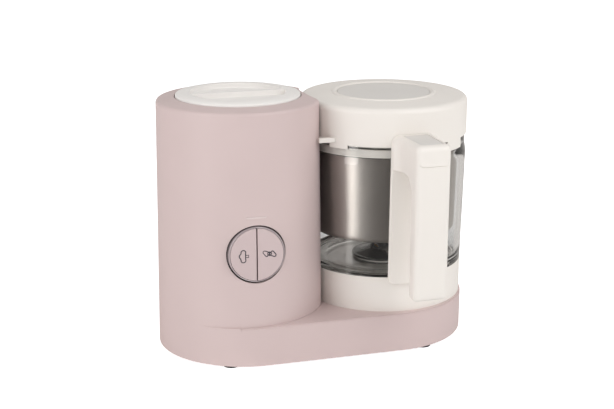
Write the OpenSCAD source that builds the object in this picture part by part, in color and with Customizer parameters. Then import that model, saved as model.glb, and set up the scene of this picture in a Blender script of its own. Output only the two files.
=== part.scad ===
// Baby food maker: a steam tower and a glass blending jar on one base.
// Origin: middle of the overall box at table height. +X from tower to jar, -Y is the front.

/* [Tower] */
// Radius of the tower at the table
tower_foot_r = 73; // [72:0.2:74]
// Radius of the tower at its top edge
tower_top_r = 69.8; // [69:0.2:71]
// Height of the tower's top edge above the table
tower_top_z = 218; // [216:0.5:220]
// Rounding of the tower's top edge
tower_edge = 3; // [2:0.5:4]
// Wall thickness of the housing
wall = 3; // [2.6:0.2:3.2]

/* [Base] */
// Radius of the base's end under the tower
base_left_r = 75.8; // [75:0.2:77]
// Radius of the base's end under the jar
base_right_r = 77.3; // [76:0.1:78]
// Distance of the left end's centre from the tower axis
base_left_x = 4.8; // [3:0.2:6]
// Distance of the right end's centre from the tower axis
base_right_x = 127; // [126:0.5:129]
// Height of the ledge that the jar stands on
ledge_z = 36; // [35:0.5:37]
// Height of the rubber feet below the base
feet_h = 2; // [1.5:0.5:2.5]
// Step at the ledge's upper edge
ledge_edge = 0.8; // [0.5:0.1:1.2]

/* [Tank cap] */
// Radius of the water tank's cap
cap_r = 53.4; // [52:0.2:54]
// Height of the cap's flat top
cap_top_z = 223; // [222:0.5:224]
// Radius of the two finger wells
well_r = 41; // [36:1:44]
// Width of the grip bar between the wells
grip_bar_w = 4.6; // [3:0.2:8]

/* [Jar] */
// Distance from the tower axis to the jar axis
jar_distance = 132; // [131:0.5:133]
// Radius of the collar below the glass
collar_r = 71.3; // [70.8:0.1:71.6]
// Height of the collar's top edge
collar_top_z = 67; // [65:0.5:68]
// Radius of the glass below the lid
glass_top_r = 73.4; // [73:0.1:73.6]
// Height of the glass shoulder below the lid
shoulder_z = 171; // [170:0.5:172]
// Height of the glass rim
rim_z = 186; // [185:0.5:187]

/* [Lid] */
// Radius of the lid
lid_r = 73.6; // [73.4:0.1:74]
// Height of the lid's lower edge
lid_low_z = 182; // [181:0.5:183]
// Height of the lid's top edge
lid_top_z = 214.5; // [213:0.5:216]
// Rounding of the lid's top edge
lid_edge = 5; // [3:0.5:5]
// Gap between the lid and the tower's hollow side
lid_gap = 1.5; // [1.3:0.1:2]

/* [Basket] */
// Height of the steel basket's floor
basket_low_z = 95.2; // [94:0.5:98]
// Radius of the steel basket at its top
basket_top_r = 66.7; // [65:0.1:66.8]
// Radius of the steel basket near its floor
basket_low_r = 65; // [63:0.5:66]
// Radius of the steam holes in the basket's floor
basket_hole_r = 2.2; // [1.5:0.1:2.6]

/* [Handle] */
// Half the handle's width
handle_half_w = 15; // [14:0.5:16]
// Distance from the jar axis to the handle's front
handle_reach = 119.8; // [117:0.2:122]
// Thickness of the grip, front to back
grip_depth = 14; // [12:0.5:15]
// Height of the handle's flat top
handle_top_z = 193; // [191:0.5:195]
// Height of the handle's lower end
handle_low_z = 61; // [60:0.5:63]
// Height of the finger gap's top
finger_top_z = 163; // [160:0.5:165]
// Half the width of the strap against the glass
strap_half_w = 19; // [18:0.5:20]

/* [Controls] */
// Turn of the control panel about the tower axis
panel_turn = -2.5; // [-4:0.5:0]
// Height of the round control pair's middle
controls_z = 99.6; // [96:0.2:104]
// Outer radius of the ring round the two buttons
bezel_r = 25; // [24:0.5:26]
// Gap between the two half-round buttons
button_split = 1; // [0.8:0.1:1.4]
// Height of the indicator strip above the buttons
indicator_z = 131; // [128:1:134]

/* [Drive] */
// Distance of the motor's axis from the tower axis
motor_x = -8; // [-10:0.5:-6]
// Radius of the motor can
motor_r = 31; // [28:0.5:32]
// Working radius of the motor's pulley
motor_pulley_r = 12; // [11:0.5:13]
// Working radius of the jar drive's pulley
drive_pulley_r = 24; // [22:0.5:25]
// Radius of the drive and blade shafts
spindle_r = 4; // [3.5:0.1:4.2]
// Reach of the blade's wings
blade_r = 43; // [38:1:46]

/* [Hidden] */
$fn = 96;
eps = 0.1;
pink = "#d6c3c1";
cream = "#efeae3";
grey = "#c4bfba";

tower_x = -(base_right_x + base_right_r - tower_foot_r) / 2;
body_y = (handle_reach - base_right_r) / 2;
cut_r = lid_r + lid_gap;
lens_r = tower_foot_r - 0.25;
deck_low_z = ledge_z - 3;
deck_start_x = -18;
tangent_gap = 0.05;
base_taper = (base_left_r - base_right_r) / (base_right_x - base_left_x);
base_slope = asin(base_taper);
roof_z = 209.5;
recess_z = 213;
recess_r = cap_r + 0.9;
dome_z = tower_top_z + 2.2;
neck_r = 34;
boiler_r = 48;
boiler_low_z = 150;
boiler_top_z = 205;
steam_z = 198;
fillet_facets = 32;
foot_places = [[-24, -61], [-24, 61], [148, -66], [148, 66]];
post_places = [[36, -69.2], [36, 69.2], [110, -70], [110, 70]];
gland_x = 4.8;
gland_z = 17;
key_face = 72.2;
flank_back = 66.4;
cover_top_z = feet_h + 3;
belt_low_z = 14;
belt_h = 8;
pulley_low_z = 12;
pulley_h = 12;
bush_r = spindle_r + 2;
motor_low_z = 66;
motor_top_z = 128;
glass_floor_z = 60;
neck_glass_r = 72;
neck_bore_r = 70.4;
basket_seat_z = 171.5;
rim_top_z = 178.8;
plate_low_z = 187;
center_r = 34.5;
bead_r = 43.9;
center_recess_r = 41.1;
center_recess_z = 213.7;
finger_back_y = -(handle_reach - grip_depth);
finger_round = 14;
strap_top_z = handle_top_z - 5;
strap_foot_r = 74.2;
strap_head_r = 77.4;
strap_inner_r = 71.65;

// Radius of the slightly tapered tower at a height
function tower_r(z) = tower_foot_r - (tower_foot_r - tower_top_r) * (z - feet_h) / (tower_top_z - feet_h);

// ---------- shared places and shapes ----------
module at_tower() translate([tower_x, body_y, 0]) children();
module at_jar() translate([tower_x + jar_distance, body_y, 0]) children();
module at_motor() translate([tower_x + motor_x, body_y, 0]) children();
module at_panel(z) translate([tower_x, body_y, z]) rotate([0, 0, panel_turn]) children();

module disc(r, low, high) translate([0, 0, low]) cylinder(r = r, h = high - low);
module ring(inner, outer, low, high) difference() {
  disc(outer, low, high);
  disc(inner, low - 1, high + 1);
}

// Rounded rectangle between two corners
module rounded(x0, y0, x1, y1, r) {
  translate([x0 + r, y0]) square([x1 - x0 - 2 * r, y1 - y0]);
  translate([x0, y0 + r]) square([x1 - x0, y1 - y0 - 2 * r]);
  for (x = [x0 + r, x1 - r], y = [y0 + r, y1 - r]) translate([x, y]) circle(r);
}

// Quadrilateral between the tangents of the base's end circles, pulled in so that its sides cross both circles
module base_middle(margin) {
  c = cos(base_slope);
  left = base_left_r - margin - tangent_gap;
  right = base_right_r - margin - tangent_gap;
  polygon([
    [base_left_x + left * base_taper, -left * c], [base_right_x + right * base_taper, -right * c],
    [base_right_x + right * base_taper, right * c], [base_left_x + left * base_taper, left * c]
  ]);
}

module base_outline(margin) {
  translate([base_left_x, 0]) circle(base_left_r - margin);
  translate([base_right_x, 0]) circle(base_right_r - margin);
  base_middle(margin);
}

module base_prism(margin, low, high) translate([0, 0, low]) linear_extrude(high - low) base_outline(margin);

// Outer body of the tower, turned about its axis
module tower_body() {
  edge_z = tower_top_z - tower_edge;
  edge_r = tower_r(edge_z) - tower_edge;
  rotate_extrude() {
    polygon([[0, feet_h], [tower_foot_r, feet_h], [tower_r(edge_z), edge_z], [edge_r, edge_z],
      [edge_r, tower_top_z], [recess_r - 1, dome_z], [0, dome_z]]);
    translate([edge_r, edge_z]) circle(tower_edge, $fn = fillet_facets);
  }
}

// Layer of the tower's wall between two distances from its outer face
module tower_layer(outside, inside, low, high) difference() {
  translate([0, 0, low]) cylinder(r1 = tower_r(low) + outside, r2 = tower_r(high) + outside, h = high - low);
  translate([0, 0, low - eps]) cylinder(r1 = tower_r(low - eps) - inside, r2 = tower_r(high + eps) - inside,
    h = high - low + 2 * eps);
}

// Outline of a band round two pulleys
module pulley_outline(small, large, span) {
  slope = (small - large) / span;
  c = sqrt(1 - slope * slope);
  circle(small);
  translate([span, 0]) circle(large);
  polygon([[small * slope, -small * c], [span + large * slope, -large * c],
    [span + large * slope, large * c], [small * slope, small * c]]);
}

module pulley(r) {
  disc(r, pulley_low_z, pulley_low_z + pulley_h);
  for (z = [pulley_low_z, pulley_low_z + pulley_h - 1.4]) disc(r + 2.8, z, z + 1.4);
}

// Six-armed coupling star, grown by a clearance
module coupling_star(grow) for (turn = [0:60:120]) rotate([0, 0, turn])
  square([22 + 2 * grow, 5 + 2 * grow], center = true);

// ---------- base and tower ----------
module housing() color(pink) at_tower() {
  difference() {
    union() {
      difference() {
        tower_body();
        translate([jar_distance, 0, deck_low_z]) cylinder(r = cut_r, h = 200);
      }
      difference() {
        base_prism(0, feet_h, ledge_z);
        translate([deck_start_x, -100, deck_low_z]) cube([300, 200, 20]);
      }
    }
    base_prism(wall, feet_h - 1, deck_low_z);
    disc(tower_foot_r - wall, feet_h - 1, deck_low_z);
    difference() {
      translate([0, 0, deck_low_z - eps]) cylinder(r1 = tower_r(deck_low_z) - wall, r2 = tower_r(roof_z) - wall,
        h = roof_z - deck_low_z + eps);
      translate([jar_distance, 0, 0]) cylinder(r = cut_r + wall, h = 230);
    }
    disc(recess_r, recess_z, 230);
    disc(neck_r + 0.2, roof_z - 1, recess_z + 1);
    rotate([0, 0, panel_turn]) translate([0, 0, controls_z]) rotate([90, 0, 0])
      translate([0, 0, 55]) cylinder(r = bezel_r + 0.1, h = 30);
    rotate([0, 0, panel_turn]) translate([-8.6, -80, indicator_z - 0.8]) cube([17.2, 20, 1.6]);
    translate([45, 0, steam_z]) rotate([0, 90, 0]) cylinder(r = 8.05, h = 20);
    translate([gland_x, 60, gland_z]) rotate([-90, 0, 0]) cylinder(r = 6.05, h = 20);
  }
  for (place = post_places) translate([place[0], place[1], 0]) difference() {
    disc(4.5, cover_top_z + 0.2, deck_low_z);
    disc(1.65, cover_top_z, 20);
  }
  rotate([0, 0, panel_turn]) for (x = [-24, 24], z = [75, 130])
    translate([x, -60, z]) rotate([90, 0, 0]) cylinder(r = 2.5, h = 5.5);
}

module jar_deck() color(pink) at_tower() difference() {
  intersection() {
    union() {
      base_prism(0, deck_low_z, ledge_z - ledge_edge);
      base_prism(ledge_edge, deck_low_z + 1, ledge_z);
    }
    translate([deck_start_x + 0.2, -100, 0]) cube([300, 200, 60]);
  }
  difference() {
    disc(lens_r, 0, 60);
    translate([jar_distance, 0, 0]) disc(cut_r - 0.25, -1, 61);
  }
  translate([jar_distance, 0, 0]) disc(12.3, 0, 60);
}

module bottom_cover() color("#cbb8b5") at_tower() difference() {
  union() {
    base_prism(wall + 0.3, feet_h, cover_top_z);
    disc(tower_foot_r - wall - 0.3, feet_h, cover_top_z);
    translate([jar_distance, 0, 0]) disc(9, feet_h, 11.5);
  }
  translate([jar_distance, 0, 0]) disc(bush_r, cover_top_z + 0.2, 12);
  for (place = foot_places) translate([place[0], place[1], 0]) disc(3, feet_h - 1, cover_top_z + 1);
  for (place = post_places) translate([place[0], place[1], 0]) {
    disc(3.3, feet_h - 1, feet_h + 2);
    disc(1.7, feet_h, cover_top_z + 1);
  }
  for (row = [-3:3]) translate([motor_x - 22, row * 6 - 1.25, feet_h - 1]) cube([44, 2.5, 6]);
}

module feet() color("#3a3838") at_tower() for (place = foot_places) translate([place[0], place[1], 0]) {
  disc(7, 0, feet_h);
  disc(2.9, feet_h, cover_top_z - 0.2);
}

module cover_screws() color("silver") at_tower() for (place = post_places) translate([place[0], place[1], 0])
  difference() {
    union() {
      disc(3.1, feet_h + 0.3, feet_h + 2);
      disc(1.6, feet_h + 2, 18);
    }
    translate([-2.2, -0.4, feet_h]) cube([4.4, 0.8, 1.1]);
  }

module boiler() color("#b9bbbd") at_tower() difference() {
  union() {
    rotate_extrude() {
      translate([0, boiler_low_z]) square([boiler_r - 5, boiler_top_z - boiler_low_z]);
      translate([0, boiler_low_z + 5]) square([boiler_r, boiler_top_z - boiler_low_z - 10]);
      for (z = [boiler_low_z + 5, boiler_top_z - 5]) translate([boiler_r - 5, z]) circle(5, $fn = fillet_facets);
    }
    disc(neck_r, boiler_top_z - 1, recess_z + 1.8);
    disc(40, recess_z + 0.8, recess_z + 1.8);
  }
  rotate_extrude() {
    translate([0, boiler_low_z + 1.5]) square([boiler_r - 5, boiler_top_z - boiler_low_z - 3]);
    translate([0, boiler_low_z + 5]) square([boiler_r - 1.5, boiler_top_z - boiler_low_z - 10]);
    for (z = [boiler_low_z + 5, boiler_top_z - 5]) translate([boiler_r - 5, z]) circle(3.5, $fn = fillet_facets);
  }
  disc(neck_r - 1.4, boiler_top_z - 3, 220);
  translate([40, 0, steam_z]) rotate([0, 90, 0]) cylinder(r = 4.5, h = 20);
}

module boiler_gasket() color("#d9d4cc") at_tower() ring(neck_r + 0.3, 40, recess_z, recess_z + 0.8);

module heater_plate() color("#a9a9ab") at_tower() disc(42, boiler_low_z - 4.5, boiler_low_z);

module heating_element() color("#77706a") at_tower() translate([0, 0, boiler_low_z - 8])
  rotate_extrude() translate([32, 0]) circle(3.5);

module thermostats() color("#8d8a86") at_tower() for (y = [-14, 14]) translate([0, y, 0]) {
  disc(6.5, boiler_low_z - 12, boiler_low_z - 4.5);
  for (x = [-4, 4]) translate([x - 0.4, -2.5, boiler_low_z - 18]) cube([0.8, 5, 6.5]);
}

module steam_tube() color("#b9bbbd") at_tower() translate([46.8, 0, steam_z]) rotate([0, 90, 0])
  ring(3.3, 4.5, 0, 8.2);

module steam_outlet_seal() color("#8a8580") at_tower() difference() {
  translate([0, 0, steam_z]) rotate([0, 90, 0]) union() {
    disc(8, 50.8, 57.8);
    disc(10, 50.8, 53.4);
  }
  translate([40, 0, steam_z]) rotate([0, 90, 0]) cylinder(r = 4.55, h = 30);
}

module button_bezel() color("#8f8886") at_panel(0) difference() {
  union() {
    intersection() {
      tower_layer(0.1, wall + 1, controls_z - bezel_r - 2, controls_z + bezel_r + 2);
      translate([0, 0, controls_z]) rotate([90, 0, 0]) disc(bezel_r, 40, 90);
    }
    translate([0, 0, controls_z]) rotate([90, 0, 0]) translate([0, 0, flank_back])
      cylinder(r1 = bezel_r - 0.1, r2 = bezel_r - 2.5, h = key_face - 0.1 - flank_back);
  }
  translate([0, 0, controls_z]) rotate([90, 0, 0]) disc(bezel_r - 3, 40, 90);
}

module half_button(side) {
  intersection() {
    translate([0, 0, controls_z]) rotate([90, 0, 0]) disc(bezel_r - 3.3, 67, key_face);
    translate([side > 0 ? button_split / 2 : -30, -90, controls_z - 30]) cube([30 - button_split / 2, 50, 60]);
  }
  translate([side * 10, 0, controls_z]) rotate([90, 0, 0]) disc(3, 65.3, 68);
}

module steam_button() color(pink) at_panel(0) half_button(-1);

module blend_button() color(pink) at_panel(0) half_button(1);

module control_board() color("#4c6b52") at_panel(0) difference() {
  translate([-28, -60, 70]) cube([56, 1.6, 66]);
  for (x = [-24, 24], z = [75, 130]) translate([x, -50, z]) rotate([90, 0, 0]) cylinder(r = 1.2, h = 12);
}

module tact_switches() color("#3d3d40") at_panel(0) for (side = [-1, 1])
  translate([side * 10, 0, controls_z]) rotate([90, 0, 0]) {
    translate([-3.5, -3.5, 60]) cube([7, 7, 2.4]);
    disc(1.8, 62.4, 64);
  }

module indicator_strip() color("#e9dfdc") at_panel(0) intersection() {
  tower_layer(0.1, 2.4, indicator_z - 3, indicator_z + 3);
  translate([-8.5, -80, indicator_z - 0.7]) cube([17, 30, 1.4]);
}

module lid_sensor() color("#3d3d40") at_tower() difference() {
  translate([47, -34, 176]) cube([12, 11, 16]);
  translate([jar_distance, 0, 0]) cylinder(r = cut_r + wall, h = 230);
  tower_layer(5, wall, 170, 200);
}

module terminal_block() color("#e2dfd6") at_tower() difference() {
  translate([-46, 34, cover_top_z]) cube([26, 14, 13]);
  for (x = [-41, -33, -25]) translate([x, 41, cover_top_z + 5]) cylinder(r = 2, h = 9);
}

module cord_gland() color("#3a3838") at_tower() translate([gland_x, 0, gland_z]) rotate([-90, 0, 0])
  difference() {
    union() {
      disc(6, 64, 77.2);
      disc(8.5, 64, 69);
      disc(8.5, 75.9, 77.2);
    }
    disc(3.3, 59, 78);
  }

// ---------- motor and belt ----------
module motor_can() color("#9b9ea1") at_motor() difference() {
  union() {
    disc(motor_r, motor_low_z, motor_top_z - 6);
    disc(motor_r - 4, motor_top_z - 7, motor_top_z);
  }
  disc(3.05, motor_low_z - 1, 95);
  for (x = [-14, 14]) translate([x, 0, 0]) disc(2, motor_low_z - 1, 72);
}

module motor_bracket() color("#8f9295") at_motor() {
  difference() {
    disc(42, motor_low_z - 4, motor_low_z);
    disc(8, motor_low_z - 5, motor_low_z + 1);
    for (x = [-14, 14]) translate([x, 0, 0]) disc(2, motor_low_z - 5, motor_low_z + 1);
  }
  for (x = [-26, 26], y = [-26, 26]) translate([x, y, 0]) disc(4, cover_top_z, motor_low_z - 4);
}

module motor_screws() color("silver") at_motor() for (x = [-14, 14]) translate([x, 0, 0]) {
  disc(3.6, motor_low_z - 7, motor_low_z - 4);
  disc(2, motor_low_z - 4, 71);
}

module motor_shaft() color("silver") at_motor() disc(3, 9, 94);

module motor_pulley() color("#4a4846") at_motor() difference() {
  pulley(motor_pulley_r);
  disc(3, 0, 40);
}

module drive_belt() color("#2e2c2b") at_motor() translate([0, 0, belt_low_z]) linear_extrude(belt_h) difference() {
  pulley_outline(motor_pulley_r + 2.3, drive_pulley_r + 2.3, jar_distance - motor_x);
  pulley_outline(motor_pulley_r + 0.3, drive_pulley_r + 0.3, jar_distance - motor_x);
}

module bearing_housing() color("#d9d4cc") at_jar() difference() {
  union() {
    disc(12, 25, 41);
    disc(22, deck_low_z - 3, deck_low_z);
  }
  disc(bush_r, 24, 42);
}

module drive_bushes() color("#b08d57") at_jar() {
  ring(spindle_r + 0.05, bush_r, 6, 11.5);
  ring(spindle_r + 0.05, bush_r, 30, 41);
}

module drive_shaft() color("silver") at_jar() disc(spindle_r, 6.3, 48);

module drive_pulley() color("#4a4846") at_jar() difference() {
  pulley(drive_pulley_r);
  disc(spindle_r, 0, 40);
}

module drive_coupler() color("#55524f") at_jar() difference() {
  union() {
    translate([0, 0, 42]) linear_extrude(8) coupling_star(0);
    disc(7.5, 42, 50);
  }
  disc(spindle_r, 41, 48);
}

// ---------- water tank cap ----------
module tank_cap() color(cream) at_tower() difference() {
  rotate_extrude() {
    polygon([[0, 215], [cap_r - 1, 215], [cap_r - 1, 217], [cap_r, 217.5], [cap_r, cap_top_z - 2.6],
      [cap_r - 2.2, cap_top_z - 1.1], [cap_r - 7.4, cap_top_z], [0, cap_top_z]]);
  }
  difference() {
    disc(well_r, cap_top_z - 4.5, cap_top_z + 1);
    translate([-60, -grip_bar_w / 2, 200]) cube([120, grip_bar_w, 40]);
  }
}

module tank_cap_plug() color(cream) at_tower() difference() {
  disc(30, 204.5, 215);
  disc(27, 204, 212);
}

module tank_cap_gasket() color("#d9d4cc") at_tower() ring(30.2, 32.3, 206, 210);

// ---------- jar ----------
module jar_glass() color("#c9d3cc", 0.4) at_jar() rotate_extrude() polygon([
  [19, glass_floor_z], [63, glass_floor_z], [63, 57.5], [67.6, 57.5], [67.6, collar_top_z + 0.2],
  [collar_r - 0.1, collar_top_z + 0.2], [glass_top_r, shoulder_z], [neck_glass_r, shoulder_z + 1.5],
  [neck_glass_r, rim_z], [neck_bore_r, rim_z], [neck_bore_r, basket_seat_z], [68.7, basket_seat_z],
  [66.9, 74], [65.6, 69], [61, 66], [19, 66]]);

module jar_collar() color(cream) at_jar() {
  rotate_extrude() polygon([[67.9, ledge_z], [collar_r, ledge_z], [collar_r, collar_top_z], [67.9, collar_top_z],
    [67.9, 57.5], [19, 57.5], [19, 53.5], [67.9, 53.5]]);
  for (turn = [0:45:315]) rotate([0, 0, turn]) translate([26, -1, 45]) cube([42, 2, 9]);
}

module jar_seal() color("#d9d4cc") at_jar() ring(19.2, 26, 66, 67.2);

module blade_holder() color("#e4e0d9") at_jar() difference() {
  union() {
    disc(18.5, 47, 67.2);
    disc(26, 67.2, 69);
    translate([0, 0, 69]) cylinder(r1 = 24, r2 = 10, h = 3);
    disc(10, 71, 74);
  }
  disc(16.6, 46, 57.5);
  disc(bush_r, 50, 75);
}

module blade_lock_ring() color("#55524f") at_jar() difference() {
  ring(18.6, 25, 48, 53.5);
  for (turn = [0:60:300]) rotate([0, 0, turn]) translate([24, -2, 47]) cube([3, 4, 4]);
}

module blade_bush() color("#b08d57") at_jar() ring(spindle_r + 0.05, bush_r, 58, 74);

module blade_shaft() color("silver") at_jar() disc(spindle_r, 52, 86);

// Curved wing at a turn and height, tilted about its root
module wing(turn, z, tilt) translate([0, 0, z]) rotate([0, tilt, turn]) linear_extrude(1.6) difference() {
  polygon([[2, -6], [26, -9], [blade_r, -2], [blade_r - 2, 4], [30, 7], [2, 6]]);
  translate([30, -24]) circle(17.5);
}

module blade() color("#2f3033") at_jar() difference() {
  union() {
    disc(6.5, 76, 87);
    translate([0, 0, 87]) cylinder(r1 = 6.5, r2 = 4, h = 1.5);
    for (turn = [0:90:270]) wing(turn, turn % 180 == 0 ? 82 : 78, turn % 180 == 0 ? -6 : 3);
  }
  disc(spindle_r, 75, 86);
}

module driven_coupler() color("#55524f") at_jar() difference() {
  disc(15.5, 42.6, 55);
  translate([0, 0, 42]) linear_extrude(9) {
    coupling_star(0.5);
    circle(8);
  }
  disc(spindle_r, 52, 56);
}

module basket_shell() color("#a8a5a2") at_jar() difference() {
  edge = 6;
  slope = (basket_top_r - basket_low_r) / (178 - basket_low_z);
  rotate_extrude() {
    polygon([[0, basket_low_z], [basket_low_r - edge, basket_low_z], [basket_low_r - edge, basket_low_z + edge],
      [basket_low_r, basket_low_z + edge], [basket_top_r, 178], [0, 178]]);
    translate([basket_low_r - edge, basket_low_z + edge]) circle(edge, $fn = fillet_facets);
  }
  rotate_extrude() {
    polygon([[0, basket_low_z + 0.9], [basket_low_r - edge, basket_low_z + 0.9],
      [basket_low_r - edge, basket_low_z + edge], [basket_low_r - 0.9, basket_low_z + edge],
      [basket_top_r - 0.9, 178], [basket_top_r - 0.9, 190], [0, 190]]);
    translate([basket_low_r - edge, basket_low_z + edge]) circle(edge - 0.9, $fn = fillet_facets);
  }
  for (row = [1:4], step = [0:row * 6 - 1]) rotate([0, 0, step * 60 / row]) translate([row * 12, 0, 90])
    cylinder(r = basket_hole_r, h = 10, $fn = 24);
}

module basket_rim() color(cream) at_jar() rotate_extrude() difference() {
  translate([basket_top_r, basket_seat_z]) square([70 - basket_top_r, rim_top_z - basket_seat_z]);
  translate([basket_top_r - 1, basket_seat_z - 1]) square([1 + 0.05, 20]);
}

module handle_block() intersection() {
  translate([0, 0, finger_top_z]) linear_extrude(40)
    rounded(-handle_half_w, -handle_reach, handle_half_w, -60, 5);
  translate([-20, 0, 0]) rotate([90, 0, 90]) linear_extrude(40) difference() {
    translate([-handle_reach, finger_top_z]) square([handle_reach - 66, handle_top_z - finger_top_z]);
    translate([-handle_reach - eps, handle_top_z - 4]) difference() {
      square([4 + eps, 5]);
      translate([4 + eps, 0]) circle(4, $fn = fillet_facets);
    }
  }
}

module handle() color(cream) at_jar() difference() {
  union() {
    handle_block();
    translate([0, 0, handle_low_z]) linear_extrude(finger_top_z + 1 - handle_low_z)
      rounded(-handle_half_w, -handle_reach, handle_half_w, finger_back_y, 5.5);
    translate([-handle_half_w + 3, 0, 0]) rotate([90, 0, 90]) linear_extrude(2 * handle_half_w - 6) difference() {
      translate([finger_back_y - 2, finger_top_z - finger_round]) square([finger_round + 2, finger_round + 2]);
      translate([finger_back_y + finger_round, finger_top_z - finger_round]) circle(finger_round);
    }
    intersection() {
      translate([0, 0, handle_low_z - 1]) cylinder(r1 = strap_foot_r, r2 = strap_head_r, h = 140);
      rotate([90, 0, 0]) linear_extrude(90)
        rounded(-strap_half_w, handle_low_z, strap_half_w, strap_top_z, 6);
      translate([-30, -90, 0]) cube([60, 30, handle_top_z]);
    }
    translate([0, 0, finger_top_z + 0.5]) linear_extrude(strap_top_z - finger_top_z - 1)
      polygon([[0.1 - strap_half_w, -70], [0.1 - strap_half_w, -76.6], [0.1 - handle_half_w, -84.5],
        [handle_half_w - 0.1, -84.5], [strap_half_w - 0.1, -76.6], [strap_half_w - 0.1, -70]]);
  }
  disc(collar_r, 40, collar_top_z);
  translate([0, 0, collar_top_z - eps]) cylinder(r1 = strap_inner_r, r2 = strap_inner_r + 2.495, h = 110);
  disc(74.1, 174, 200);
  translate([0, 0, handle_top_z - 5.5]) linear_extrude(10)
    rounded(-11.2, -handle_reach + 2.8, 11.2, -78.3, 4);
  translate([0, 0.8 - handle_reach, 0]) rotate([90, 0, 0]) linear_extrude(5) difference() {
    rounded(1 - handle_half_w, 175.6, 40, 220, 6);
    rounded(1.6 - handle_half_w, 176.2, 41, 221, 5.4);
    translate([-40, 184]) square([90, 60]);
  }
}

module release_pad() color(grey) at_jar() translate([0, 0, handle_top_z - 3]) linear_extrude(2.8)
  rounded(-10.8, -handle_reach + 3.2, 10.8, -78.7, 3.6);

// ---------- lid ----------
module lid_inner_plate() color(cream) at_jar() difference() {
  union() {
    disc(72.1, plate_low_z, plate_low_z + 1.8);
    disc(70, 180.5, plate_low_z + 1);
  }
  disc(68, 180, plate_low_z);
  disc(36, 180, 200);
  for (turn = [0:30:330]) rotate([0, 0, turn]) translate([54, 0, 0]) disc(3, 180, 200);
}

module lid_seal() color("#d9d4cc") at_jar() ring(70.2, 71.9, rim_z + 0.2, plate_low_z);

module lid_lip(from, sweep, low) rotate([0, 0, from]) rotate_extrude(angle = sweep)
  translate([lid_r - 1.1, low]) square([1, lid_low_z + 1 - low]);

module lid_shell() color(cream) at_jar() {
  difference() {
    union() {
      rotate_extrude() {
        polygon([[0, lid_low_z], [lid_r, lid_low_z], [lid_r, lid_top_z - lid_edge],
          [lid_r - lid_edge, lid_top_z - lid_edge], [lid_r - lid_edge, lid_top_z],
          [bead_r + 2, lid_top_z + 1.5], [0, lid_top_z + 1.5]]);
        translate([lid_r - lid_edge, lid_top_z - lid_edge]) circle(lid_edge, $fn = fillet_facets);
        translate([bead_r, lid_top_z]) circle(2.6, $fn = fillet_facets);
      }
      translate([-73, -44.6, 183.6]) cube([14, 4, 3.8]);
    }
    disc(lid_r - 1.2, lid_low_z - 1, 189);
    disc(lid_r - 2.7, 188, lid_top_z - 3.5);
    disc(center_r, 200, 230);
    disc(center_recess_r, center_recess_z, 230);
    translate([-90, 0, steam_z]) rotate([0, 90, 0]) cylinder(r = 5.5, h = 30);
  }
  lid_lip(-148, 14, 178.5);
  lid_lip(-62, 17.3, 173.6);
}

module center_cap() color(grey) at_jar() difference() {
  union() {
    disc(center_recess_r - 0.4, center_recess_z, 216);
    disc(33.6, 200, center_recess_z + 0.5);
  }
  disc(31.6, 199, 212.5);
}

module center_cap_seal() color("#d9d4cc") at_jar() ring(33.6, center_r - 0.25, 211.2, 213.2);

housing();
jar_deck();
bottom_cover();
feet();
cover_screws();
boiler();
boiler_gasket();
heater_plate();
heating_element();
thermostats();
steam_tube();
steam_outlet_seal();
button_bezel();
control_board();
tact_switches();
indicator_strip();
steam_button();
blend_button();
lid_sensor();
terminal_block();
cord_gland();
motor_can();
motor_bracket();
motor_screws();
motor_shaft();
motor_pulley();
drive_belt();
bearing_housing();
drive_bushes();
drive_shaft();
drive_pulley();
drive_coupler();
tank_cap();
tank_cap_plug();
tank_cap_gasket();
jar_glass();
jar_collar();
jar_seal();
blade_holder();
blade_lock_ring();
blade_bush();
blade_shaft();
blade();
driven_coupler();
basket_shell();
basket_rim();
handle();
release_pad();
lid_inner_plate();
lid_seal();
lid_shell();
center_cap();
center_cap_seal();
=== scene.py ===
import math

import bpy
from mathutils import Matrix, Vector


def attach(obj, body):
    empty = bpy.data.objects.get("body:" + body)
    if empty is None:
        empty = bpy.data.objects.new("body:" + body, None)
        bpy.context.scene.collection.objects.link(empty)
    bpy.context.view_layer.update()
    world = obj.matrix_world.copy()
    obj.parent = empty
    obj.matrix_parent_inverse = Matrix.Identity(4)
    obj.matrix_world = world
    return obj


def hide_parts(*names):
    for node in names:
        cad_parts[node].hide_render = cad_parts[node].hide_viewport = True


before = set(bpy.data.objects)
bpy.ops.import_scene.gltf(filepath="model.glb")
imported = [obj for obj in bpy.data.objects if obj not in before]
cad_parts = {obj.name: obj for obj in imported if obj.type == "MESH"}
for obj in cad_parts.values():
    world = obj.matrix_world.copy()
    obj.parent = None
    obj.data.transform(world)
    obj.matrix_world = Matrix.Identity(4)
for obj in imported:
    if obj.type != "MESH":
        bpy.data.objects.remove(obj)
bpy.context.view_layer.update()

# ---- The place it stands ----
# The maker stands on a white paper sweep. One wide soft box hangs at its front left, a second at its front
# right and a third high over that side, and the room gives even light, so that each plastic shows its colour.
studio = bpy.context.scene
studio.view_settings.view_transform = "Standard"

EYE_AIM = Vector((-0.00415, 0.02125, 0.1178))
eye = bpy.data.objects.new("eye", bpy.data.cameras.new("eye"))
studio.collection.objects.link(eye)
eye.location = (-0.31115, -0.99075, 0.4191)
eye.rotation_euler = (EYE_AIM - eye.location).to_track_quat("-Z", "Y").to_euler()
eye.data.lens = 72.67
eye.data.sensor_width = 36
eye.data.clip_end = 50
studio.camera = eye

LAMP_AIM = Vector((0, 0, 0.1))


def hang_soft_box(name, place, size, watts):
    lamp = bpy.data.objects.new(name, bpy.data.lights.new(name, "AREA"))
    studio.collection.objects.link(lamp)
    lamp.data.shape = "RECTANGLE"
    lamp.data.size, lamp.data.size_y = size
    lamp.data.energy = watts
    lamp.location = place
    lamp.rotation_euler = (LAMP_AIM - Vector(place)).to_track_quat("-Z", "Y").to_euler()
    return lamp


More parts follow.
